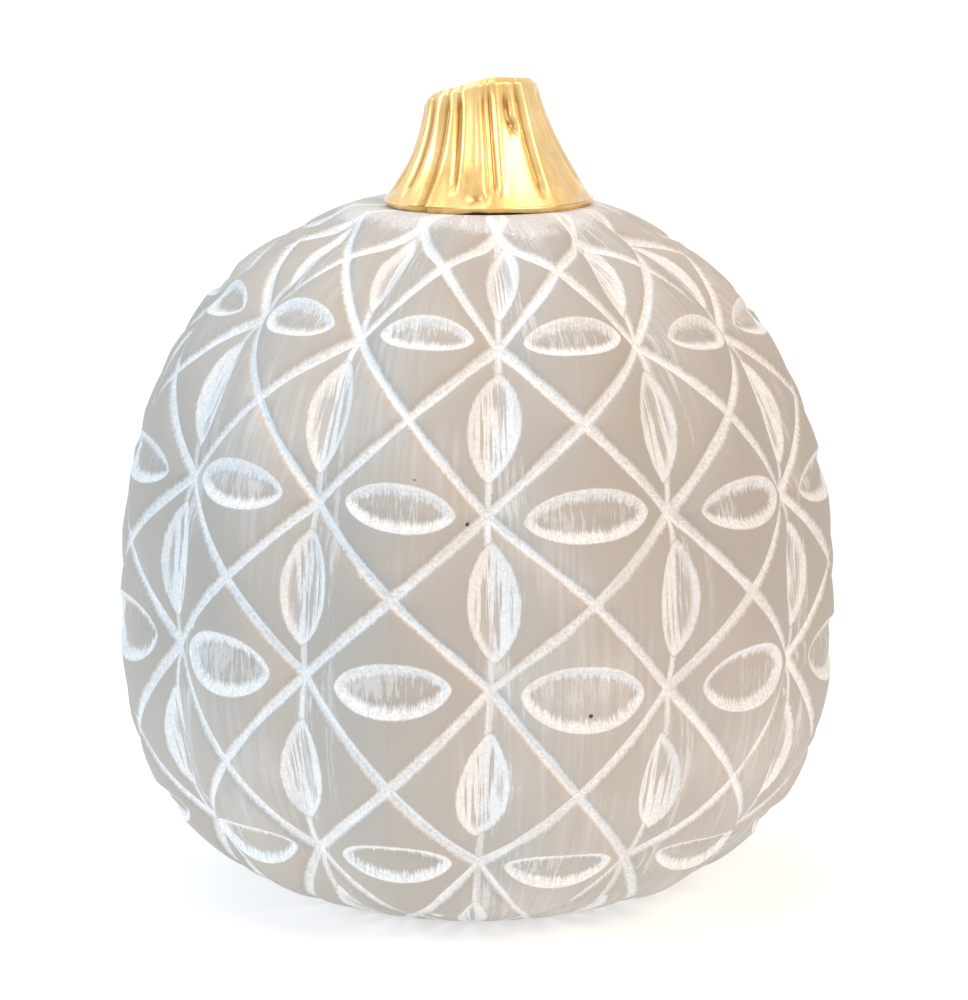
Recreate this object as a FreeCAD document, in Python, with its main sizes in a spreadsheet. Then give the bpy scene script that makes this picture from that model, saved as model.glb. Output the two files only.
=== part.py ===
import FreeCAD, Part
import math
import os
import Sketcher

# A hollow ceramic pumpkin ornament: a twelve-ribbed cast body, a slant-cut stem whose spigot is
# glued into the crown, and four felt dots under the foot. Millimetres, +Z up, origin on the
# surface it stands on, under the middle of the body. The front looks along -Y.

SIZES = {
    # body
    "body_radius": 90.2,
    "bowl_depth": 79.0,
    "bowl_power": 2.65,
    "dome_rise": 99.5,
    "dome_power": 2.3,
    "foot_radius": 38.5,
    "crown_radius": 30.0,
    "rib_count": 12,
    "front_valley_turn": 2.3,
    "valley_depth": 4.2,
    "wall": 5.0,
    "foot_recess_radius": 28.5,
    "foot_recess_depth": 1.5,
    "vent_radius": 6.0,
    # stem
    "stem_shift": 2.8,
    "crown_hole_radius": 12.0,
    "spigot_radius": 10.8,
    "spigot_length": 9.0,
    "bond_length": 5.0,
    "bond_radius": 20.0,
    "bond_thickness": 0.6,
    "seat_radius": 25.2,
    "skirt_radius": 26.4,
    "lip_height": 1.6,
    "flank_radius": 44.0,
    "stem_top_radius": 13.4,
    "stem_blank_height": 36.0,
    "cut_reach": 20.0,
    "cut_left_height": 24.6,
    "cut_right_height": 33.8,
    "cut_clearance": 50.0,
    "cut_front_tilt": 14.0,
    # felt dots
    "pad_count": 4,
    "pad_radius": 4.0,
    "pad_thickness": 0.8,
    "pad_circle_radius": 33.4,
}
SECTION_COUNT = 13  # horizontal rings that the body is lofted through
FADE_SHARE = 0.22  # share of the height, at each end, over which the ribs die away

doc = FreeCAD.newDocument("pumpkin_figure")
sheet = doc.addObject("Spreadsheet::Sheet", "Sizes")
for row, (alias, value) in enumerate(SIZES.items(), start=1):
    sheet.set(f"A{row}", alias)
    sheet.set(f"B{row}", str(value))
    sheet.setAlias(f"B{row}", alias)
doc.recompute()


def size(alias):
    return float(sheet.get(alias))


# ---- the body's outline: a super-ellipse, with one power above the belly and one below ----


def outline_radius(rise, inset=0.0):
    """Crest radius at a height above the belly line, for the wall's outside or its inside."""
    reach, power = (
        (size("dome_rise"), size("dome_power"))
        if rise > 0
        else (size("bowl_depth"), size("bowl_power"))
    )
    share = min(abs(rise) / (reach - inset), 1.0)
    return (size("body_radius") - inset) * (1.0 - share**power) ** (1.0 / power)


def rise_at(radius, reach, power):
    """Distance from the belly line at which the outline has come in to this radius."""
    return reach * (1.0 - (radius / size("body_radius")) ** power) ** (1.0 / power)


belly_height = rise_at(size("foot_radius"), size("bowl_depth"), size("bowl_power"))
crown_rise = rise_at(size("crown_radius"), size("dome_rise"), size("dome_power"))
foot_z = size("pad_thickness")
belly_z = foot_z + belly_height
crown_z = belly_z + crown_rise


def ring(rise, inset, depth):
    """One closed ring of rib arcs, each from valley over crest to valley."""
    crest = outline_radius(rise, inset)
    valley = crest - depth
    step = 2.0 * math.pi / size("rib_count")
    first = math.radians(size("front_valley_turn") - 90.0)

    def point(radius, turn):
        return FreeCAD.Vector(radius * math.cos(turn), radius * math.sin(turn), belly_z + rise)

    arcs = []
    for rib in range(int(size("rib_count"))):
        start = first + rib * step
        arc = Part.Arc(
            point(valley, start), point(crest, start + step / 2.0), point(valley, start + step)
        )
        arcs.append(arc.toShape())
    return Part.Wire(arcs)


def ribbed_solid(lowest, highest, inset):
    """Loft through rings that are closest together where the outline turns fastest."""
    rings = []
    for number in range(SECTION_COUNT):
        share = number / (SECTION_COUNT - 1)
        swing = math.sin(math.pi * (share - 0.5))
        rise = lowest + (highest - lowest) * (1.0 + swing) / 2.0
        from_end = min(share, 1.0 - share) / FADE_SHARE
        depth = size("valley_depth") * math.sin(min(from_end, 1.0) * math.pi / 2.0)
        rings.append(ring(rise, inset, depth))
    return Part.makeLoft(rings, True, False)


def body_shell():
    """Hollow casting with a recessed foot, a vent hole and a crown hole for the stem."""
    wall = size("wall")
    outside = ribbed_solid(-belly_height, crown_rise, 0.0)
    cavity = ribbed_solid(wall - belly_height, crown_rise - wall, wall)
    up = FreeCAD.Vector(0, 0, 1)
    foot = FreeCAD.Vector(0, 0, foot_z)
    below_crown = FreeCAD.Vector(size("stem_shift"), 0, crown_z - 2.0 * wall)
    cuts = [
        cavity,
        Part.makeCylinder(size("foot_recess_radius"), size("foot_recess_depth"), foot, up),
        Part.makeCylinder(size("vent_radius"), 2.0 * wall, foot, up),
        Part.makeCylinder(size("crown_hole_radius"), 3.0 * wall, below_crown, up),
    ]
    shell = doc.addObject("Part::Feature", "body_shell")
    shell.Shape = outside.cut(cuts).removeSplitter()
    return shell


# ---- turned and cut pieces: bodies whose sketches are bound to the sheet ----


def origin_plane(body, role):
    return next(item for item in body.Origin.OriginFeatures if item.Role == role)


def corner_value(name):
    """A corner's ordinate: 0, or a size's name with an optional minus in front."""
    if name == "0":
        return 0.0
    return -size(name[1:]) if name.startswith("-") else size(name)


def bound_outline(body, label, role, corners, bowed=None):
    """Closed outline whose corners are named sizes. bowed is (edge, radius name): that edge is
    an arc that bends towards the outline's inside."""
    sketch = body.newObject("Sketcher::SketchObject", label)
    sketch.AttachmentSupport = (origin_plane(body, role), [""])
    sketch.MapMode = "FlatFace"
    places = [FreeCAD.Vector(corner_value(a), corner_value(b), 0) for a, b in corners]
    count = len(places)
    ends = []
    for edge, start in enumerate(places):
        stop = places[(edge + 1) % count]
        if bowed and edge == bowed[0]:
            middle = (start + stop) / 2.0
            half = (stop - start).Length / 2.0
            radius = size(bowed[1])
            across = FreeCAD.Vector(stop.y - start.y, start.x - stop.x, 0).normalize()
            centre = middle + across * math.sqrt(radius**2 - half**2)
            turn_start = math.atan2(start.y - centre.y, start.x - centre.x)
            turn_stop = math.atan2(stop.y - centre.y, stop.x - centre.x)
            circle = Part.Circle(centre, FreeCAD.Vector(0, 0, 1), radius)
            low, high = turn_stop % (2.0 * math.pi), turn_start % (2.0 * math.pi)
            geometry = sketch.addGeometry(Part.ArcOfCircle(circle, low, high), False)
            ends.append((geometry, 2, 1))
        else:
            geometry = sketch.addGeometry(Part.LineSegment(start, stop), False)
            ends.append((geometry, 1, 2))
    for edge in range(count):
        following = ends[(edge + 1) % count]
        here = ends[edge]
        sketch.addConstraint(
            Sketcher.Constraint("Coincident", here[0], here[2], following[0], following[1])
        )
    for edge, (across_name, up_name) in enumerate(corners):
        geometry, start_end, _ = ends[edge]
        for kind, name in (("DistanceX", across_name), ("DistanceY", up_name)):
            value = corner_value(name)
            index = sketch.addConstraint(
                Sketcher.Constraint(kind, -1, 1, geometry, start_end, value)
            )
            if name != "0":
                sign = "-" if name.startswith("-") else ""
                sketch.setExpression(f"Constraints[{index}]", f"{sign}Sizes.{name.lstrip('-')}")
    if bowed:
        geometry = ends[bowed[0]][0]
        index = sketch.addConstraint(Sketcher.Constraint("Radius", geometry, size(bowed[1])))
        sketch.setExpression(f"Constraints[{index}]", f"Sizes.{bowed[1]}")
    return sketch


def turned(body, sketch):
    feature = body.newObject("PartDesign::Revolution", f"{body.Label}_turned")
    feature.Profile = sketch
    feature.ReferenceAxis = (sketch, ["V_Axis"])
    feature.Angle = 360
    sketch.Visibility = False
    return feature


def stem():
    """Flared stump with a rounded lip, a spigot below and a slanted cut on top."""
    body = doc.addObject("PartDesign::Body", "stem")
    blank = bound_outline(
        body,
        "stem_outline",
        "XZ_Plane",
        [
            ("0", "-spigot_length"),
            ("spigot_radius", "-spigot_length"),
            ("spigot_radius", "bond_thickness"),
            ("bond_radius", "bond_thickness"),
            ("bond_radius", "0"),
            ("seat_radius", "0"),
            ("skirt_radius", "lip_height"),
            ("stem_top_radius", "stem_blank_height"),
            ("0", "stem_blank_height"),
        ],
        bowed=(6, "flank_radius"),
    )
    turned(body, blank)
    doc.recompute()
    whole = body.Shape.Volume
    slant = bound_outline(
        body,
        "stem_slant",
        "XZ_Plane",
        [
            ("-cut_reach", "cut_left_height"),
            ("cut_reach", "cut_right_height"),
            ("cut_reach", "cut_clearance"),
            ("-cut_reach", "cut_clearance"),
        ],
    )
    slant.AttachmentOffset = FreeCAD.Placement(
        FreeCAD.Vector(), FreeCAD.Rotation(FreeCAD.Vector(-1, 0, 0), size("cut_front_tilt"))
    )
    slant.setExpression("AttachmentOffset.Rotation.Angle", "Sizes.cut_front_tilt")
    cut = body.newObject("PartDesign::Pocket", "stem_slant_cut")
    cut.Profile = slant
    cut.Type = "ThroughAll"
    cut.Midplane = True
    slant.Visibility = False
    body.Tip = cut
    doc.recompute()
    if not 0.8 * whole < body.Shape.Volume < 0.99 * whole:
        raise RuntimeError("the slanted cut took away too much or too little of the stem")
    body.Placement = FreeCAD.Placement(
        FreeCAD.Vector(size("stem_shift"), 0, crown_z), FreeCAD.Rotation()
    )
    return body


def stem_bond():
    """Glue: a collar round the spigot and a thin flange under the stem."""
    body = doc.addObject("PartDesign::Body", "stem_bond")
    section = bound_outline(
        body,
        "bond_outline",
        "XZ_Plane",
        [
            ("spigot_radius", "-bond_length"),
            ("crown_hole_radius", "-bond_length"),
            ("crown_hole_radius", "0"),
            ("bond_radius", "0"),
            ("bond_radius", "bond_thickness"),
            ("spigot_radius", "bond_thickness"),
        ],
    )
    turned(body, section)
    body.Placement = FreeCAD.Placement(
        FreeCAD.Vector(size("stem_shift"), 0, crown_z), FreeCAD.Rotation()
    )
    return body


def foot_pad(number):
    """One felt dot on the flat foot ring, on the diagonals of the frame."""
    body = doc.addObject("PartDesign::Body", f"foot_pad_{number}")
    section = bound_outline(
        body,
        f"pad_outline_{number}",
        "XZ_Plane",
        [
            ("0", "0"),
            ("pad_radius", "0"),
            ("pad_radius", "pad_thickness"),
            ("0", "pad_thickness"),
        ],
    )
    turned(body, section)
    turn = math.radians(45.0 + 360.0 * (number - 1) / size("pad_count"))
    reach = size("pad_circle_radius")
    body.Placement = FreeCAD.Placement(
        FreeCAD.Vector(reach * math.cos(turn), reach * math.sin(turn), 0), FreeCAD.Rotation()
    )
    return body


pieces = [body_shell(), stem(), stem_bond()]
pieces += [foot_pad(number + 1) for number in range(int(size("pad_count")))]
doc.recompute()

for item in doc.Objects:
    if "Invalid" in item.State or "Error" in item.State:
        raise RuntimeError(f"{item.Label} did not compute: {item.State}")

os.makedirs("parts", exist_ok=True)
for piece in pieces:
    shape = piece.Shape
    if shape.isNull() or not shape.isValid() or len(shape.Solids) != 1:
        raise RuntimeError(f"{piece.Label} is not one valid solid")
    shape.exportStep(f"parts/{piece.Label}.step")
    box = shape.optimalBoundingBox()
    print(
        f"{piece.Label}: {shape.Volume:.0f} mm3, z {box.ZMin:.2f} to {box.ZMax:.2f}, "
        f"x {box.XMin:.2f} to {box.XMax:.2f}, y {box.YMin:.2f} to {box.YMax:.2f}"
    )
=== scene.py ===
import math
import bpy
import numpy as np
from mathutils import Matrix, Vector


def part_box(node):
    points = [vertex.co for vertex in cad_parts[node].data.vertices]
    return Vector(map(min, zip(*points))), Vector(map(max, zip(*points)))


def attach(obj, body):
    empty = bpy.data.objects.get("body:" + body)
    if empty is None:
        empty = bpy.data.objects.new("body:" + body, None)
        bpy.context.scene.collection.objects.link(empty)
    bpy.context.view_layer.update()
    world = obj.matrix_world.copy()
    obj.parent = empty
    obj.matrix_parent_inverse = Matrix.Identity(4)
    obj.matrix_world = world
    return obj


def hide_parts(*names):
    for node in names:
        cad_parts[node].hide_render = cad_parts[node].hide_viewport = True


# A hollow ceramic pumpkin, carved and whitewashed, with a gold stump of a stem. Shapes are
# worked out in millimetres and become metres where a mesh is made. The front looks along -Y.

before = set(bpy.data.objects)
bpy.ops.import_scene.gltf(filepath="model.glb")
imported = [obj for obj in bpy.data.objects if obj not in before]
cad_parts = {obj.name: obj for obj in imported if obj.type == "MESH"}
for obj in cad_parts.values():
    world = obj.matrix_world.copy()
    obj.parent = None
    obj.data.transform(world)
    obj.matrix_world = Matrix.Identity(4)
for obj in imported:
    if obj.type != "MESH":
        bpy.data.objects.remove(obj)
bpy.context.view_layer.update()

MM = 0.001
TURN = 2.0 * math.pi
rng = np.random.default_rng(12)


def corners_mm(node):
    low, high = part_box(node)
    return np.array(low) / MM, np.array(high) / MM


shell_low, shell_high = corners_mm("body_shell")
stem_low, stem_high = corners_mm("stem")
shell_points = np.array([v.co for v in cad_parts["body_shell"].data.vertices]) / MM
FOOT_Z = shell_low[2]
CROWN_Z = shell_high[2]
BODY_RADIUS = np.hypot(shell_points[:, 0], shell_points[:, 1]).max()
STEM_X = (stem_low[0] + stem_high[0]) / 2.0

# ---- the body's outline and its carved pattern ----

BOWL_DEPTH, BOWL_POWER = 79.0, 2.65
DOME_RISE, DOME_POWER = 99.5, 2.3
FOOT_RADIUS, CROWN_RADIUS = 38.5, 30.0
CROWN_HOLE, VENT_HOLE, WALL = 12.0, 6.0, 5.0
RECESS_RADIUS, RECESS_DEPTH = 28.5, 1.5
RIBS = 12
VALLEY_TURN = math.radians(2.3)  # the front valley stands this far round to the right
LEAN = math.radians(2.2)  # the carved pattern leans to the right by this much
VALLEY_DEPTH = 4.2
FOOT_FULLNESS = 0.9  # how much fuller the casting is just above its foot
COLUMNS, STEP = 960, 0.6  # mesh columns round the body, and row spacing down it

# How far down from the crown each row of crossings was set out, by tape over the curve.
ROWS = (-1.0, 0.0, 0.5, 1.0, 2.0, 3.0, 4.0, 5.0)
ROW_ARCS = (-41.0, 5.0, 21.5, 43.7, 87.6, 129.8, 181.1, 240.0)
# For rows 0 to 7: how far above its row an eye sits, and how tall it is against the usual.
EYE_LIFTS = np.array((0.0, 0.0, 0.0, 0.0, 3.4, 0.0, 0.0, 0.0))
EYE_HEIGHTS = np.array((1.0, 0.80, 0.94, 1.20, 1.05, 1.0, 1.0, 1.0))
# Crossings that the carver's hand set off the ruled place: rib, row, millimetres to the right.
NUDGES = (
    (1, 0, 3.2), (1, 1, 2.0), (2, 1, 3.2), (0, 2, -1.7), (-1, 4, -1.8), (1, 4, -1.3),
    (-2, 3, 2.4), (-2, 2, 2.0), (-2, 0, -2.5), (2, 4, 2.5), (0.5, 2.5, 1.4),
)

GROOVE_HALF, GROOVE_DEPTH = 1.45, 1.0
PILLOW_REACH, PILLOW_DEPTH = 4.5, 1.1
EYE_HALF_TURN, EYE_HALF_RISE, EYE_DEPTH = 0.325, 6.4, 1.5  # in ribs, mm, mm
SCOOP_HALF_WIDTH, SCOOP_HALF_RISE, SCOOP_DEPTH = 5.7, 14.6, 2.1
FAR_AWAY = 99.0  # a distance in mm at which nothing is carved
EYE_ROWS, SCOOP_ROWS = (1, 4), (0, 4)  # the first and last rows that hold them
ROW_COUNT = len(ROWS)


def rise_at(radius, reach, power):
    return reach * (1.0 - (radius / BODY_RADIUS) ** power) ** (1.0 / power)


BELLY_Z = FOOT_Z + rise_at(FOOT_RADIUS, BOWL_DEPTH, BOWL_POWER)


def outline_radius(rise, inset=0.0):
    """Crest radius at heights above the belly line, outside or on the wall's inner face."""
    power = np.where(rise > 0, DOME_POWER, BOWL_POWER)
    reach = np.where(rise > 0, DOME_RISE, BOWL_DEPTH) - inset
    share = np.clip(np.abs(rise) / reach, 0.0, 1.0)
    return (BODY_RADIUS - inset) * (1.0 - share**power) ** (1.0 / power)


def outline_points(top_radius, top_rise, low_radius, low_rise, step, inset=0.0):
    """Evenly spaced points down the outline, with their arc length from the top."""
    swing = np.linspace(0.0, math.pi, 4000)
    rise = low_rise + (top_rise - low_rise) * (1.0 + np.cos(swing)) / 2.0
    radius = outline_radius(rise, inset)
    radius[0], radius[-1] = top_radius, low_radius
    arc = np.concatenate([[0.0], np.cumsum(np.hypot(np.diff(radius), np.diff(rise)))])
    even = np.linspace(0.0, arc[-1], int(round(arc[-1] / step)) + 1)
    return np.interp(even, arc, radius), np.interp(even, arc, rise), even


def smooth(value):
    value = np.clip(value, 0.0, 1.0)
    return value * value * (3.0 - 2.0 * value)


def wander(turn, arc, waves, size):
    """A smooth unevenness round and down the body, as hand work leaves."""
    total = np.zeros(np.broadcast(turn, arc).shape)
    for _ in range(waves):
        around = rng.integers(1, 9)
        along = rng.uniform(0.02, 0.09)
        first, second = rng.uniform(0.0, TURN, 2)
        total += np.sin(around * turn + first) * np.sin(along * arc + second)
    return size * total / math.sqrt(waves)


def eye_distance(across, along, half_across, half_along):
    """Millimetres outside (+) or inside (-) an oval whose ends are drawn out a little."""
    p = np.abs(along) / half_along + 1e-6
    q = np.abs(across) / half_across + 1e-6
    level = np.sqrt(p**2.2 + q**1.6)
    slope = np.hypot(2.2 * p**1.2 / half_along, 1.6 * q**0.6 / half_across) / (2.0 * level)
    return np.maximum((level - 1.0) / slope, -half_across)


def lens_distance(across, along, half_across, half_along, rounding):
    """Millimetres outside (+) or inside (-) a lens whose tips lie along the second axis."""
    reach = (half_along**2 + half_across**2) / (2.0 * half_across)
    softened = np.sqrt(across**2 + rounding**2) - rounding * 0.5
    return np.hypot(along, softened + reach - half_across) - reach


def carve(turn, radius, rise, arc):
    """Depth below the crest surface, and the distances that the paint follows."""
    x = radius * np.cos(turn)
    y = radius * np.sin(turn)
    tilted_x = x * math.cos(LEAN) - rise * math.sin(LEAN)
    tilted_z = x * math.sin(LEAN) + rise * math.cos(LEAN)
    climb = np.arctan2(tilted_z, np.hypot(tilted_x, y))
    own_climb = np.arctan2(rise[:, 0], radius[:, 0])
    down = np.interp(-climb, -own_climb, arc[:, 0])
    azimuth = np.arctan2(y, tilted_x)

    ribs_round = (azimuth + math.pi / 2.0 - VALLEY_TURN) / TURN * RIBS
    ribs_round = ribs_round + wander(turn, arc, 7, 0.010)
    row = np.interp(down, ROW_ARCS, ROWS) + wander(turn, arc, 7, 0.010)
    gaps = np.diff(ROW_ARCS)
    pitch = np.interp(down, np.array(ROW_ARCS[:-1]) + gaps / 2.0, gaps / np.diff(ROWS))
    rib_width = TURN * radius / RIBS
    for rib, level, shift in NUDGES:
        near = np.exp(-(((ribs_round - rib) / 0.6) ** 2) - ((row - level) / 0.6) ** 2)
        ribs_round = ribs_round - near * shift / rib_width

    from_valley = ribs_round - np.round(ribs_round)
    slope = np.sqrt(1.0 / rib_width**2 + 1.0 / pitch**2)
    groove = np.full(ribs_round.shape, FAR_AWAY)
    for family in (ribs_round - row, ribs_round + row):
        groove = np.minimum(groove, np.abs(family - np.round(family)) / slope)
    groove = np.abs(groove + wander(turn, 6.0 * arc, 5, 0.12))

    rib = np.floor(ribs_round).astype(int) % RIBS
    level = np.round(row).astype(int)
    own_row = np.clip(level, 0, ROW_COUNT - 1)
    picks = (rib, own_row)
    spread = rng.normal(0.0, 1.0, (5, RIBS, ROW_COUNT))
    tip = np.radians(2.5) * spread[0][picks]
    across = (ribs_round - np.floor(ribs_round) - 0.5) * rib_width - 0.5 * spread[1][picks]
    upright = (row - level) * pitch + EYE_LIFTS[own_row] - 0.5 * spread[2][picks]
    turned_across = across * np.cos(tip) + upright * np.sin(tip)
    turned_upright = upright * np.cos(tip) - across * np.sin(tip)
    half_turn = EYE_HALF_TURN * rib_width * (1.0 + 0.035 * spread[3][picks])
    half_rise = EYE_HALF_RISE * EYE_HEIGHTS[own_row] * (1.0 + 0.06 * spread[4][picks])
    eye = eye_distance(turned_upright, turned_across, half_rise, half_turn)
    eye = np.where((level >= EYE_ROWS[0]) & (level <= EYE_ROWS[1]), eye, FAR_AWAY)

    valley = np.round(ribs_round).astype(int) % RIBS
    half_level = np.floor(row).astype(int)
    picks = (valley, np.clip(half_level, 0, ROW_COUNT - 1))
    spread = rng.normal(0.0, 1.0, (4, RIBS, ROW_COUNT))
    tip = np.radians(2.5) * spread[0][picks]
    across = from_valley * rib_width - 0.4 * spread[1][picks]
    upright = (row - half_level - 0.5) * pitch
    turned_across = across * np.cos(tip) + upright * np.sin(tip)
    turned_upright = upright * np.cos(tip) - across * np.sin(tip)
    narrowing = np.clip(rib_width / 44.0, 0.3, 1.0)
    half_width = SCOOP_HALF_WIDTH * narrowing * (1.0 + 0.07 * spread[2][picks])
    half_rise = SCOOP_HALF_RISE * (1.0 + 0.03 * spread[3][picks])
    scoop = lens_distance(turned_across, turned_upright, half_width, half_rise, 0.6)
    in_rows = (half_level >= SCOOP_ROWS[0]) & (half_level <= SCOOP_ROWS[1])
    scoop = np.where(in_rows, scoop, FAR_AWAY)

    softness = 0.012 + 0.06 * smooth(-scoop / 3.0)
    ridge = 1.0 - 2.0 * np.sqrt(from_valley**2 + softness**2)
    rib_depth = VALLEY_DEPTH * np.clip(ridge, 0.0, 1.0) ** 1.9

    trough = PILLOW_DEPTH * np.exp(-groove / PILLOW_REACH)
    cut = GROOVE_DEPTH * np.exp(-((groove / GROOVE_HALF) ** 2))
    wall = smooth(-eye / 2.6)
    eye_floor = smooth((-eye - 2.0) / 4.0)
    eye_depth = EYE_DEPTH * wall - 0.35 * eye_floor
    hollow = 1.0 - np.clip(1.0 + scoop / 5.5, 0.0, 1.0) ** 2
    scoop_depth = SCOOP_DEPTH * hollow * narrowing
    depth = trough + cut + eye_depth + scoop_depth
    ends = smooth(arc / 14.0) * smooth((arc.max() - arc) / 20.0)
    rib_depth = rib_depth * smooth((arc.max() - arc + 4.0) / 62.0)
    depth = (depth + rib_depth) * ends
    depth = depth + wander(turn, arc, 9, 0.16) * ends
    depth = depth - FOOT_FULLNESS * np.exp(-(((arc.max() - arc - 24.0) / 9.0) ** 2))
    paint = {
        "groove": groove,
        "eye": eye,
        "scoop": scoop,
        "valley": from_valley * rib_width,
    }
    return depth, paint


def grid_mesh(name, x, y, z, paint=None, capped=False):
    """Skin over a grid of points in mm whose rows run down the outside. It joins up round, and
    either runs on from its last row to its first or is closed at both ends by a fan."""
    rows, columns = x.shape
    points = np.stack([x, y, z], axis=-1).reshape(-1, 3) * MM
    strips = rows - 1 if capped else rows
    along, round_ = np.meshgrid(np.arange(strips), np.arange(columns), indexing="ij")
    next_along, next_round = (along + 1) % rows, (round_ + 1) % columns
    quads = np.stack(
        [
            along * columns + round_,
            next_along * columns + round_,
            next_along * columns + next_round,
            along * columns + next_round,
        ],
        axis=-1,
    ).reshape(-1, 4)
    fans = np.zeros((0, 3), int)
    if capped:
        middles = (points[:columns].mean(0), points[-columns:].mean(0))
        here = np.arange(columns)
        following = (here + 1) % columns
        last, peak = (rows - 1) * columns, np.full(columns, len(points))
        fans = np.concatenate(
            [
                np.stack([peak, here, following], axis=-1),
                np.stack([peak + 1, last + following, last + here], axis=-1),
            ]
        )
        points = np.concatenate([points, middles])
    corners = np.concatenate([quads.ravel(), fans.ravel()])
    starts = [np.arange(0, quads.size, 4), quads.size + np.arange(0, fans.size, 3)]
    starts = np.concatenate(starts)
    mesh = bpy.data.meshes.new(name)
    mesh.vertices.add(len(points))
    mesh.vertices.foreach_set("co", points.astype(np.float32).ravel())
    mesh.loops.add(len(corners))
    mesh.loops.foreach_set("vertex_index", corners.astype(np.int32))
    mesh.polygons.add(len(starts))
    mesh.polygons.foreach_set("loop_start", starts.astype(np.int32))
    mesh.polygons.foreach_set("use_smooth", np.ones(len(starts), bool))
    for label, values in (paint or {}).items():
        layer = mesh.attributes.new(label, "FLOAT", "POINT")
        filled = np.zeros(len(points), np.float32)
        filled[: values.size] = values.ravel()
        layer.data.foreach_set("value", filled)
    mesh.update(calc_edges=True)
    mesh.validate()
    piece = bpy.data.objects.new(name, mesh)
    bpy.context.scene.collection.objects.link(piece)
    return piece


def straight(start, stop, step):
    """Points from one (radius, z) to the next, the last one left out."""
    count = max(int(round(math.dist(start, stop) / step)), 1)
    share = np.arange(count) / count
    return (
        start[0] + (stop[0] - start[0]) * share,
        start[1] + (stop[1] - start[1]) * share,
    )


def pumpkin_body():
    """The casting: carved outside, foot ring, recess and vent hole, and the wall's inner face."""
    turn = (np.arange(COLUMNS) * TURN / COLUMNS)[None, :]
    crown_rise = CROWN_Z - BELLY_Z
    foot_rise = FOOT_Z - BELLY_Z
    radius, rise, arc = outline_points(CROWN_RADIUS, crown_rise, FOOT_RADIUS, foot_rise, STEP)
    slope_r, slope_z = np.gradient(radius, arc), np.gradient(rise, arc)
    length = np.hypot(slope_r, slope_z)
    out_r, out_z = -slope_z / length, slope_r / length
    depth, paint = carve(turn, radius[:, None], rise[:, None], arc[:, None])
    outer_radius = radius[:, None] - out_r[:, None] * depth
    outer_z = BELLY_Z + rise[:, None] - out_z[:, None] * depth

    crown = straight((CROWN_HOLE, CROWN_Z), (CROWN_RADIUS, CROWN_Z), 2.0)
    under = [
        straight((FOOT_RADIUS - 0.6, FOOT_Z), (RECESS_RADIUS + 0.5, FOOT_Z), 1.5),
        straight((RECESS_RADIUS, FOOT_Z + 0.5), (RECESS_RADIUS, FOOT_Z + RECESS_DEPTH), 0.5),
        straight((RECESS_RADIUS - 0.4, FOOT_Z + RECESS_DEPTH),
                 (VENT_HOLE + 0.6, FOOT_Z + RECESS_DEPTH), 1.5),
        straight((VENT_HOLE, FOOT_Z + RECESS_DEPTH + 0.6), (VENT_HOLE, FOOT_Z + WALL), 0.8),
        straight((VENT_HOLE + 0.6, FOOT_Z + WALL + 0.5), (36.0, FOOT_Z + WALL + 0.5), 3.0),
    ]
    inner_rise = (crown_rise - WALL, foot_rise + WALL + 0.5)
    inner_top = float(outline_radius(np.array(inner_rise[0]), WALL))
    inner_low = float(outline_radius(np.array(inner_rise[1]), WALL))
    in_radius, in_rise, _ = outline_points(
        inner_top, inner_rise[0], inner_low, inner_rise[1], 5.0, WALL
    )
    crown_inside = straight((inner_top, CROWN_Z - WALL), (CROWN_HOLE, CROWN_Z - WALL), 3.0)
    crown_edge = straight((CROWN_HOLE, CROWN_Z - WALL), (CROWN_HOLE, CROWN_Z), 1.5)

    def band(line):
        return np.repeat(line[0][:, None], COLUMNS, 1), np.repeat(line[1][:, None], COLUMNS, 1)

    ribs_round = (turn + math.pi / 2.0 - VALLEY_TURN) / TURN * RIBS
    ridge = 1.0 - 2.0 * np.abs(ribs_round - np.round(ribs_round))
    in_radius, in_rise = in_radius[::-1], in_rise[::-1]
    in_share = np.sin(np.linspace(0.0, math.pi, len(in_radius)))[:, None]
    inside = (
        in_radius[:, None] - VALLEY_DEPTH * ridge**1.9 * in_share**0.5,
        np.repeat(BELLY_Z + in_rise[:, None], COLUMNS, 1),
    )
    bands = [band(crown), (outer_radius, outer_z)]
    bands += [band(line) for line in under] + [inside, band(crown_inside), band(crown_edge)]
    all_radius = np.concatenate([b[0] for b in bands])
    all_z = np.concatenate([b[1] for b in bands])
    before = len(crown[0])
    after = len(all_radius) - before - len(outer_radius)
    padded = {
        label: np.concatenate(
            [
                np.repeat(values[:1], before, 0),
                np.clip(values, -30.0, 30.0),
                np.full((after, COLUMNS), 20.0),
            ]
        )
        for label, values in paint.items()
    }
    # The crown hole lies under the stem, so the rings inside the crown's edge slide to it.
    near_hole = np.clip((CROWN_RADIUS - all_radius) / (CROWN_RADIUS - CROWN_HOLE), 0.0, 1.0)
    slide = STEM_X * near_hole * (all_z > BELLY_Z)
    x = all_radius * np.cos(turn) + slide
    y = all_radius * np.sin(turn)
    return grid_mesh("pumpkin_body", x, y, all_z, padded)


# ---- the stem ----

STEM_COLUMNS, STEM_ROWS = 420, 170
STEM_TOP_RADIUS, FLARE, FLARE_HEIGHT, FLARE_POWER = 12.9, 13.7, 36.0, 1.8
CUT_MIDDLE, CUT_RISE_RIGHT, CUT_FALL_BACK, CUT_ARCH = 28.8, 0.175, 0.20, 0.004
LIP = 1.7
STEM_LEAN = 0.055  # how far the stem leans to the left for each mm it rises
BASE_FLATTENING = 0.12  # the foot of the stem is this much narrower front to back
SPIGOT = (
    (6.0, -9.0), (10.0, -9.0), (10.8, -8.4), (10.8, -4.0), (10.8, 0.0),
    (10.8, 0.6), (15.0, 0.6), (20.0, 0.6), (20.0, 0.0), (22.0, 0.0),
)
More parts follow.
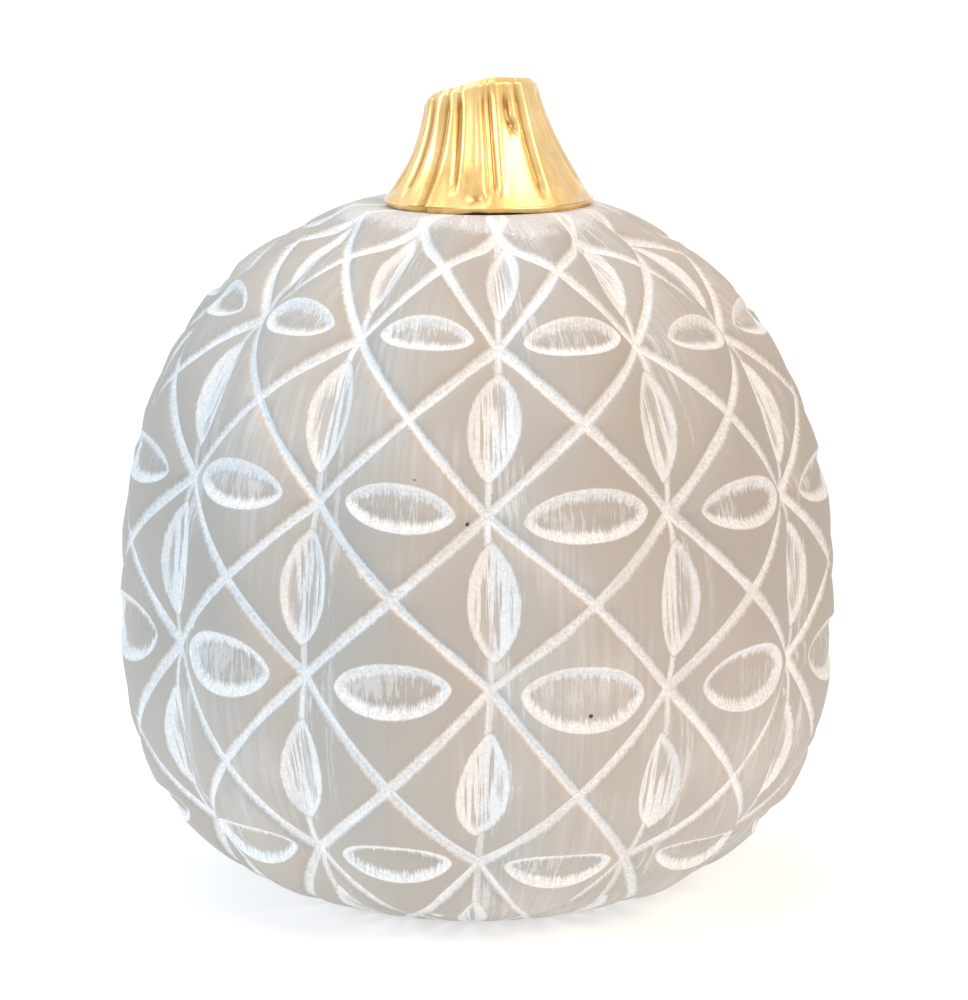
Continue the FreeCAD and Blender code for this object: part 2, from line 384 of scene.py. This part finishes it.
# Each fold: degrees round from the front at its foot and at its top, depth, half width,
# and the heights in mm between which it runs.
FOLDS = (
    (-78, -74, 1.0, 1.4, 2, 40),
    (-60, -57, 1.7, 1.1, 2, 40),
    (-42, -37, 1.4, 0.9, -2, 40),
    (-23, -24, 1.5, 0.8, 4, 40),
    (-9, -8, 0.45, 1.3, 8, 40),
    (2, 3, 1.1, 0.7, 2, 40),
    (7, 10, 1.5, 0.8, 3, 40),
    (40, 44, 1.4, 0.8, 3, 36),
    (66, 62, 0.5, 1.8, 1, 40),
    (84, 80, 1.0, 1.2, 4, 30),
    (101, 98, 1.3, 1.4, 0, 40),
    (122, 117, 1.0, 1.0, 5, 40),
    (140, 137, 1.4, 1.3, 2, 40),
    (161, 160, 0.8, 1.8, 6, 40),
    (180, 182, 1.3, 1.1, 0, 40),
    (203, 206, 1.0, 1.4, 4, 40),
    (224, 228, 1.4, 1.1, 2, 40),
    (246, 252, 1.1, 1.5, 1, 40),
    (268, 277, 1.2, 1.2, 3, 40),
)
# Each dent: degrees round, height, depth, half width and half height in mm.
DENTS = (
    (-7, 3.2, 1.2, 2.4, 1.8),
    (29, 24.5, 1.5, 0.9, 4.6),
    (33, 20.5, 1.2, 0.9, 1.6),
    (74, 2.6, 0.7, 3.0, 1.2),
)


def stem_relief(degrees, height, radius):
    depth = np.zeros(height.shape)
    for foot, top, deep, half, low, high in FOLDS:
        bend = smooth(height / 32.0) ** 0.8
        place = foot + (top - foot) * bend
        away = (degrees - place + 180.0) % 360.0 - 180.0
        across = np.radians(away) * radius
        lasting = smooth((height - low) / 4.0) * smooth((high - height) / 3.0)
        crease = np.exp(-np.abs(across / half) ** 1.5)
        shoulder = np.exp(-((across - 2.2 * half) ** 2) / (1.3 * half) ** 2)
        depth += deep * lasting * (crease - 0.28 * shoulder)
    for place, level, deep, half_across, half_up in DENTS:
        away = (degrees - place + 180.0) % 360.0 - 180.0
        across = np.radians(away) * radius / half_across
        depth += deep * np.exp(-(across**2) - ((height - level) / half_up) ** 2)
    return depth


def gold_stem():
    """Flared stump: rounded lip, folds up the sides, a slanted cut and a spigot below."""
    turn = (np.arange(STEM_COLUMNS) * TURN / STEM_COLUMNS)[None, :]
    degrees = (np.degrees(turn) + 90.0) % 360.0
    share = np.linspace(0.0, 1.0, STEM_ROWS)[:, None]

    def cut_height(radius):
        across, back = radius * np.cos(turn), radius * np.sin(turn)
        slope = CUT_RISE_RIGHT * across - CUT_FALL_BACK * back
        return CUT_MIDDLE + slope - CUT_ARCH * across**2

    top = cut_height(STEM_TOP_RADIUS) + 0.15 * np.sin(5.0 * turn + 2.0)
    height = LIP + (top - LIP) * share
    falling = np.clip(1.0 - height / FLARE_HEIGHT, 0.0, 1.0)
    leftward = (1.0 - np.cos(turn)) / 2.0
    radius = STEM_TOP_RADIUS + FLARE * falling ** (FLARE_POWER + 0.7 * leftward)
    radius = radius + 0.3 * leftward * smooth(height / 20.0)
    kept = 0.35 + 0.65 * smooth((top - height) / 6.0)
    fold = stem_relief(degrees, height, radius) * kept
    radius = radius - fold
    radius = radius + 0.35 * np.sin(2.0 * turn + 0.6) + 0.3 * np.sin(3.0 * turn + 2.2)
    radius = radius - 0.9 * smooth((height - top + 1.7) / 1.7) ** 2
    flattened = BASE_FLATTENING * np.clip(1.0 - height / FLARE_HEIGHT, 0.0, 1.0)
    radius = radius * (1.0 - flattened * np.sin(turn) ** 2)

    lip_turns = np.radians(np.linspace(-90.0, -5.0, 10))[:, None]
    lip_wave = 0.4 * np.sin(4.0 * turn + 0.5) + 0.35 * np.sin(7.0 * turn + 1.7)
    lip_radius = radius[:1] + 1.1 * (np.cos(lip_turns) - 1.0) * np.ones_like(turn)
    lip_height = LIP * (1.0 + np.sin(lip_turns)) + 0.0 * turn
    lip_radius = lip_radius + lip_wave * np.cos(lip_turns)

    cap_share = np.linspace(1.0, 0.0, 44)[1:-1, None]
    cap_radius = radius[-1:] * cap_share
    rings = 0.16 * np.sin(cap_share * 34.0 + 0.8 * np.sin(3.0 * turn))
    dish = -1.5 * (1.0 - cap_share**2) + rings * (1.0 - cap_share**6)
    cap_height = cut_height(cap_radius) * (1.0 - cap_share**4) + top * cap_share**4 + dish
    cap_height = cap_height + 0.25 * cap_share**4

    below_radius = np.array([[r] for r, _ in SPIGOT]) + 0.0 * turn
    below_height = np.array([[level] for _, level in SPIGOT]) + 0.0 * turn

    all_radius = np.concatenate([below_radius, lip_radius, radius, cap_radius])[::-1]
    all_height = np.concatenate([below_height, lip_height, height, cap_height])[::-1]
    centre = STEM_X - STEM_LEAN * np.maximum(all_height, 0.0)
    x = centre + all_radius * np.cos(turn)
    y = all_radius * np.sin(turn)
    # The folds' depth is stored on the mesh so that the gold finish can paint shade into them.
    fold_depth_for_shade = np.zeros_like(all_radius)
    fold_depth_for_shade[len(cap_radius) : len(cap_radius) + STEM_ROWS] = fold[::-1]
    paint = {"fold": fold_depth_for_shade}
    return grid_mesh("gold_stem", x, y, CROWN_Z + all_height, paint, capped=True)


# ---- shader maths ----


class Field:
    """A number that varies over a surface, used with ordinary operators."""

    def __init__(self, maker, socket):
        self.maker, self.socket = maker, socket

    def _with(self, operation, *values):
        return self.maker.maths(operation, *values)

    def __add__(self, other):
        return self._with("ADD", self, other)

    __radd__ = __add__

    def __sub__(self, other):
        return self._with("SUBTRACT", self, other)

    def __rsub__(self, other):
        return self._with("SUBTRACT", other, self)

    def __mul__(self, other):
        return self._with("MULTIPLY", self, other)

    __rmul__ = __mul__

    def __truediv__(self, other):
        return self._with("DIVIDE", self, other)

    def __abs__(self):
        return self._with("ABSOLUTE", self)


class Finish:
    """A material with one Principled shader, built up from fields and colours."""

    def __init__(self, name):
        self.material = bpy.data.materials.new(name)
        self.material.use_nodes = True
        self.tree = self.material.node_tree
        self.tree.nodes.clear()
        self.shader = self.tree.nodes.new("ShaderNodeBsdfPrincipled")
        output = self.tree.nodes.new("ShaderNodeOutputMaterial")
        self.tree.links.new(self.shader.outputs["BSDF"], output.inputs["Surface"])

    def make(self, kind, settings, sockets):
        """Any node: its settings first, then its sockets' values or links."""
        node = self.tree.nodes.new(kind)
        for name, value in settings.items():
            setattr(node, name, value)
        for name, value in sockets.items():
            self.feed(node.inputs[name], value)
        return node

    def feed(self, socket, value):
        value = value.socket if isinstance(value, Field) else value
        if isinstance(value, bpy.types.NodeSocket):
            self.tree.links.new(value, socket)
        else:
            socket.default_value = value

    def maths(self, operation, *values):
        node = self.make("ShaderNodeMath", {"operation": operation}, dict(enumerate(values)))
        return Field(self, node.outputs[0])

    def larger(self, one, other):
        return self.maths("MAXIMUM", one, other)

    def clamp(self, value):
        return Field(self, self.make("ShaderNodeClamp", {}, {"Value": value}).outputs[0])

    def step(self, value, low, high):
        """0 at low, 1 at high, smooth between them; low may be the larger."""
        node = self.make(
            "ShaderNodeMapRange",
            {"interpolation_type": "SMOOTHSTEP"},
            {"Value": value, "From Min": low, "From Max": high},
        )
        return Field(self, node.outputs[0])

    def stored(self, label):
        node = self.make("ShaderNodeAttribute", {"attribute_name": label}, {})
        return Field(self, node.outputs["Fac"])

    def place(self):
        return self.make("ShaderNodeTexCoord", {}, {}).outputs["Object"]

    def noise(self, vector, scale, detail=3.0, rough=0.55, warp=0.0):
        sockets = {"Vector": vector, "Scale": scale, "Detail": detail}
        sockets.update({"Roughness": rough, "Distortion": warp})
        return Field(self, self.make("ShaderNodeTexNoise", {}, sockets).outputs[0])

    def stretched(self, vector, scales):
        sockets = {0: vector, 1: scales}
        return self.make("ShaderNodeVectorMath", {"operation": "MULTIPLY"}, sockets).outputs[0]

    def mixed(self, share, first, second):
        node = self.make("ShaderNodeMix", {"data_type": "RGBA"}, {0: share, 6: first, 7: second})
        return node.outputs[2]

    def bumped(self, height, distance, strength=1.0):
        sockets = {"Height": height, "Distance": distance, "Strength": strength}
        return self.make("ShaderNodeBump", {}, sockets).outputs[0]

    def set(self, **sockets):
        for name, value in sockets.items():
            self.feed(self.shader.inputs[name.replace("_", " ")], value)
        return self.material


STROKE_RADIUS = 0.088  # metres: the radius at which strokes have their true width


def around_and_up(finish):
    """Coordinates that run round the body and up it, so that strokes follow its ribs."""
    split = finish.make("ShaderNodeSeparateXYZ", {}, {0: finish.place()})
    x, y, z = (Field(finish, socket) for socket in split.outputs)
    out = finish.maths("SQRT", x * x + y * y + 1e-8)
    sockets = {0: x / out * STROKE_RADIUS, 1: y / out * STROKE_RADIUS, 2: z}
    return finish.make("ShaderNodeCombineXYZ", {}, sockets).outputs[0]


def whitewashed_ceramic():
    finish = Finish("whitewashed_ceramic")
    place = finish.place()
    flow = around_and_up(finish)
    hairs = finish.noise(finish.stretched(flow, (1.0, 1.0, 0.12)), 1900.0, 3.0, 0.6)
    strokes = finish.noise(finish.stretched(flow, (1.0, 1.0, 0.05)), 520.0, 4.0, 0.65)
    streaks = finish.noise(finish.stretched(flow, (1.0, 1.0, 0.05)), 1000.0, 3.0, 0.55)
    crumbs = finish.noise(place, 1300.0, 3.0, 0.6)
    patches = finish.noise(place, 46.0, 3.0, 0.5)
    broad = finish.noise(place, 14.0, 2.0, 0.5)
    grain = finish.noise(place, 2600.0, 2.0, 0.5)

    groove = finish.stored("groove")
    eye = finish.stored("eye")
    scoop = finish.stored("scoop")
    valley = finish.stored("valley")

    ragged = (hairs - 0.5) * 1.0 + (crumbs - 0.5) * 1.5
    uneven = (patches - 0.5) * 1.1 + (broad - 0.5) * 0.9
    line = finish.step(groove + ragged + uneven, 1.72, 0.62)
    line = line * (0.80 + 0.25 * finish.step(crumbs + (patches - 0.5) * 0.9, 0.3, 0.58))

    outside = finish.step(eye + (crumbs - 0.5) * 0.8, 0.35, -0.15)
    ring = outside * finish.step(eye + (hairs - 0.5) * 4.0 + (patches - 0.5) * 2.4, -3.5, -1.6)
    ring = ring * (0.78 + 0.27 * finish.step(hairs + (crumbs - 0.5) * 0.5, 0.35, 0.6))
    dry = finish.step(hairs + (strokes - 0.5) * 0.5 + (patches - 0.5) * 1.3, 0.52, 0.66)
    eye_floor = outside * dry * 0.42

    inside = finish.step(scoop + (hairs - 0.5) * 1.3, 0.35, -0.35)
    heart = finish.step(scoop, -0.9, -2.4)
    scraped = finish.step(streaks + (patches - 0.5) * 0.5, 0.47, 0.58)
    fill = inside * (1.0 - (0.12 + 0.72 * heart) * scraped) * (0.80 + 0.25 * hairs)

    seam = finish.step(abs(valley) + ragged, 1.25, 0.45) * (1.0 - inside)
    seam = seam * (0.55 + 0.4 * finish.step(strokes, 0.4, 0.6))
    beside = finish.step(abs(valley - 4.0), 7.5, 2.5)
    brushed = finish.step(strokes + (hairs - 0.5) * 0.55 + (patches - 0.5) * 0.7, 0.50, 0.70)
    haze = beside * brushed * 0.50
    up = finish.make("ShaderNodeSeparateXYZ", {}, {0: place}).outputs[2]
    high = Field(finish, up) + (patches - 0.5) * 0.012 + (crumbs - 0.5) * 0.004
    crown = finish.step(high, (CROWN_Z - 3.2) * MM, (CROWN_Z - 0.6) * MM)
    crown = crown * (0.55 + 0.45 * finish.step(hairs, 0.4, 0.6)) * 0.9
    film = finish.step(broad + (strokes - 0.5) * 0.6 + (patches - 0.5) * 0.5, 0.52, 0.92) * 0.42

    holes = finish.make(
        "ShaderNodeTexVoronoi", {"feature": "F1"}, {"Vector": place, "Scale": 72.0}
    )
    lots = finish.make("ShaderNodeSeparateColor", {}, {0: holes.outputs["Color"]}).outputs
    away = Field(finish, holes.outputs["Distance"])
    # Pinholes: the bump dents them, and their colour is painted near black as painted shade
    # inside the holes.
    shaded_pinhole = finish.step(away, 0.045, 0.025) * finish.step(Field(finish, lots[0]), 0.80, 0.82)
    dab = finish.step(away + (hairs - 0.5) * 0.16 + (crumbs - 0.5) * 0.10, 0.13, 0.08)
    dab = dab * finish.step(Field(finish, lots[1]), 0.92, 0.94)
    dab = dab * finish.step(Field(finish, lots[0]), 0.78, 0.76)

    white = finish.larger(finish.larger(line, ring), finish.larger(fill, seam))
    white = finish.larger(white, crown)
    thin = finish.larger(finish.larger(eye_floor, haze), finish.larger(film, dab * 0.85))
    white = finish.clamp(finish.larger(white, thin))

    lighter = finish.step(broad, 0.3, 0.7)
    grey = finish.mixed(lighter, (0.445, 0.417, 0.386, 1), (0.495, 0.463, 0.430, 1))
    worn = finish.step(patches + (grain - 0.5) * 0.25, 0.60, 0.80) * 0.35
    grey = finish.mixed(worn, grey, (0.47, 0.43, 0.385, 1))
    thick = finish.step(crumbs, 0.35, 0.65)
    chalk = finish.mixed(thick, (0.79, 0.805, 0.825, 1), (0.91, 0.925, 0.945, 1))
    colour = finish.mixed(white, grey, chalk)
    # Painted shade: the pinholes are coloured near black.
    colour = finish.mixed(shaded_pinhole, colour, (0.05, 0.045, 0.04, 1))

    height = grain * 0.25 + white * 0.9 + crumbs * white * 0.7 + patches * 0.4 - shaded_pinhole * 2.0
    rough = finish.clamp(0.60 + 0.22 * white + (grain - 0.5) * 0.15)
    return finish.set(
        Base_Color=colour,
        Roughness=rough,
        Normal=finish.bumped(height, 0.00022, 0.75),
        Specular_IOR_Level=0.35,
    )


def gold_paint():
    finish = Finish("gold_paint")
    place = finish.place()
    flakes = finish.noise(place, 3400.0, 2.0, 0.7)
    drags = finish.noise(finish.stretched(place, (1.0, 1.0, 0.14)), 620.0, 4.0, 0.6)
    pools = finish.noise(place, 95.0, 3.0, 0.55)
    tone = finish.step(pools + (drags - 0.5) * 0.5, 0.3, 0.7)
    colour = finish.mixed(tone, (0.72, 0.45, 0.14, 1), (0.84, 0.585, 0.24, 1))
    colour = finish.mixed(finish.step(flakes, 0.60, 0.72) * 0.5, colour, (1.0, 0.86, 0.52, 1))
    # Painted shade: the gold turns dark brown along the stem's folds, darker where a fold is
    # deeper.
    crease_shade = finish.step(finish.stored("fold") + (drags - 0.5) * 0.5, 0.25, 1.3)
    colour = finish.mixed(crease_shade * 0.9, colour, (0.42, 0.22, 0.045, 1))
    height = flakes * 0.35 + drags * 0.8 + pools * 1.6
    rough = finish.clamp(0.24 + 0.16 * drags + (flakes - 0.5) * 0.2)
    return finish.set(
        Base_Color=colour,
        Metallic=0.86,
        Coat_Weight=1.0,
        Coat_Roughness=0.16,
        Roughness=rough,
        Normal=finish.bumped(height, 0.00014, 0.4),
    )


def cured_glue():
    finish = Finish("cured_glue")
    place = finish.place()
    clouds = finish.noise(place, 300.0, 4.0, 0.6)
    colour = finish.mixed(clouds, (0.62, 0.52, 0.34, 1), (0.80, 0.73, 0.56, 1))
    rough = 0.22 + 0.2 * clouds
    return finish.set(Base_Color=colour, Roughness=rough, Normal=finish.bumped(clouds, 0.0003))


def felt():
    finish = Finish("felt")
    place = finish.place()
    fibres = finish.noise(place, 2400.0, 5.0, 0.75, 1.2)
    tufts = finish.noise(place, 700.0, 3.0, 0.6)
    colour = finish.mixed(fibres, (0.34, 0.325, 0.30, 1), (0.56, 0.54, 0.50, 1))
    height = fibres + tufts * 0.6
    rough = finish.clamp(0.86 + 0.14 * tufts)
    return finish.set(Base_Color=colour, Roughness=rough, Normal=finish.bumped(height, 0.0004))


DOT_COLUMNS, DOT_RIM_ROWS, DOT_FLAT_ROWS = 72, 9, 9


def felt_dot(node):
    """A die-cut felt dot with a soft, fuzzy edge, standing in for its design solid."""
    low, high = corners_mm(node)
    centre = (low + high) / 2.0
    radius, thick = (high[0] - low[0]) / 2.0, high[2] - low[2]
    turn = (np.arange(DOT_COLUMNS) * TURN / DOT_COLUMNS)[None, :]
    side = np.radians(np.linspace(-90.0, 90.0, DOT_RIM_ROWS))[:, None]
    flat = np.linspace(0.05, 0.86, DOT_FLAT_ROWS)[:, None]
    fuzz = rng.normal(0.0, 0.05, (DOT_RIM_ROWS + 2 * DOT_FLAT_ROWS, DOT_COLUMNS))
    rim_radius = radius - 0.35 + 0.35 * np.cos(side) + 0.0 * turn
    rim_z = low[2] + thick / 2.0 * (1.0 + np.sin(side)) + 0.0 * turn
    bottom_radius = (radius - 0.4) * flat + 0.0 * turn
    top_radius = bottom_radius[::-1]
    level = np.zeros_like(bottom_radius)
    rings = np.concatenate([bottom_radius, rim_radius, top_radius])[::-1]
    heights = np.concatenate([level + low[2], rim_z, level + high[2]])[::-1]
    rings = rings + fuzz * (rings > 0.5 * radius)
    x, y = centre[0] + rings * np.cos(turn), centre[1] + rings * np.sin(turn)
    return grid_mesh(f"{node}_felt", x, y, heights, capped=True)


# ---- the pieces ----


def finish_piece(piece, material, node):
    piece.data.materials.clear()
    piece.data.materials.append(material)
    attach(piece, "root")
    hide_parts(node)


finish_piece(pumpkin_body(), whitewashed_ceramic(), "body_shell")
finish_piece(gold_stem(), gold_paint(), "stem")
felt_material = felt()
for number in range(1, 5):
    pad = f"foot_pad_{number}"
    finish_piece(felt_dot(pad), felt_material, pad)
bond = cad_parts["stem_bond"]
bond.data.materials.clear()
bond.data.materials.append(cured_glue())

# ---- floor, light and camera ----


def pale_floor():
    """A sheet of backlit white: only a faint shadow shows on it."""
    mesh = bpy.data.meshes.new("floor")
    reach, drop = 0.26, -0.0001
    mesh.from_pydata(
        [
            (-reach, -reach, drop),
            (reach, -reach, drop),
            (reach, reach, drop),
            (-reach, reach, drop),
        ],
        [],
        [(0, 1, 2, 3)],
    )
    floor = bpy.data.objects.new("floor", mesh)
    bpy.context.scene.collection.objects.link(floor)
    finish = Finish("pale_floor")
    white = (0.70, 0.70, 0.70, 1)
    glow = (1.0, 1.0, 1.0, 1)
    floor.data.materials.append(
        finish.set(Base_Color=white, Roughness=0.9, Emission_Color=glow, Emission_Strength=0.46)
    )


def soft_light(name, place, aim, width, power, colour):
    lamp = bpy.data.lights.new(name, "AREA")
    lamp.shape = "SQUARE"
    lamp.size, lamp.energy, lamp.color = width, power, colour
    light = bpy.data.objects.new(name, lamp)
    light.location = place
    light.rotation_euler = (Vector(aim) - Vector(place)).to_track_quat("-Z", "Y").to_euler()
    bpy.context.scene.collection.objects.link(light)


def studio():
    """White surroundings to look at, a dimmer sky to light by, and three soft lamps."""
    world = bpy.data.worlds.new("studio")
    bpy.context.scene.world = world
    world.use_nodes = True
    tree = world.node_tree
    sky = tree.nodes["Background"]
    sky.inputs["Color"].default_value = (0.94, 0.97, 1.0, 1.0)
    sky.inputs["Strength"].default_value = 0.40
    backdrop = tree.nodes.new("ShaderNodeBackground")
    backdrop.inputs["Color"].default_value = (1.0, 1.0, 1.0, 1.0)
    backdrop.inputs["Strength"].default_value = 1.05
    rays = tree.nodes.new("ShaderNodeLightPath")
    either = tree.nodes.new("ShaderNodeMixShader")
    seen = tree.nodes.new("ShaderNodeMath")
    seen.operation = "MAXIMUM"
    tree.links.new(rays.outputs["Is Camera Ray"], seen.inputs[0])
    tree.links.new(rays.outputs["Is Glossy Ray"], seen.inputs[1])
    tree.links.new(seen.outputs[0], either.inputs[0])
    tree.links.new(sky.outputs[0], either.inputs[1])
    tree.links.new(backdrop.outputs[0], either.inputs[2])
    tree.links.new(either.outputs[0], tree.nodes["World Output"].inputs["Surface"])
    aim = (0.0, 0.0, 0.1)
    soft_light("left_window", (-1.4, -0.85, 0.7), aim, 1.0, 13.5, (0.68, 0.86, 1.0))
    soft_light("right_warm", (1.05, -1.05, 1.15), aim, 0.75, 20.5, (1.0, 0.75, 0.53))
    soft_light("overhead", (-0.5, 0.1, 2.0), aim, 2.0, 18.0, (1.0, 1.0, 1.0))
    bpy.context.scene.view_settings.view_transform = "Standard"
    bpy.context.scene.view_settings.look = "None"


CAMERA_DISTANCE = 1.106
CAMERA_RISE = math.radians(10.9)
CAMERA_AIM = (0.0021, 0.0, 0.09835)
SENSOR_WIDTH = 36.0
VIEW_WIDTH = 0.24132  # metres across the view, at the object's middle


def camera():
    lens = bpy.data.cameras.new("camera")
    lens.sensor_fit = "HORIZONTAL"
    lens.sensor_width = SENSOR_WIDTH
    lens.lens = SENSOR_WIDTH * CAMERA_DISTANCE / VIEW_WIDTH
    lens.clip_start, lens.clip_end = 0.05, 20.0
    aim = Vector(CAMERA_AIM)
    away = Vector((0.0, -math.cos(CAMERA_RISE), math.sin(CAMERA_RISE)))
    eye = bpy.data.objects.new("camera", lens)
    eye.location = aim + away * CAMERA_DISTANCE
    eye.rotation_euler = (-away).to_track_quat("-Z", "Y").to_euler()
    bpy.context.scene.collection.objects.link(eye)
    bpy.context.scene.camera = eye


pale_floor()
studio()
camera()

bpy.context.view_layer.update()
